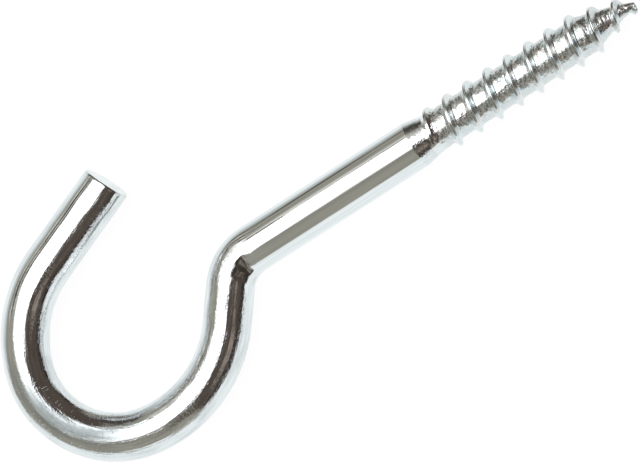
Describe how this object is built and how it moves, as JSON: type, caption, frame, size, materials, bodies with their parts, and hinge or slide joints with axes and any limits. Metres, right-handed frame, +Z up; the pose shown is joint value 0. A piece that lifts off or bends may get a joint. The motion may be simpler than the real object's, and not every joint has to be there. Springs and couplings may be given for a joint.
{
  "type": "screw hook",
  "caption": "Open round hook bent from plated steel wire, offset by a crank onto a plain shank that ends in a tapered, self-starting wood-screw thread.",
  "frame": {"origin": "on the surface that the hook lies on, below the middle of its box", "axes": "+X along the shank to the thread's point, +Y to the side where the bow is open, +Z up, square to the plane that the wire is bent in"},
  "size_m": [0.0812, 0.0306, 0.0057],
  "materials": {
    "zinc_plated_steel": "bright zinc plating over smooth drawn wire, duller and pitted on the rolled thread"
  },
  "bodies": {
    "root": {"screw_hook": "zinc_plated_steel"}
  },
  "joints": []
}
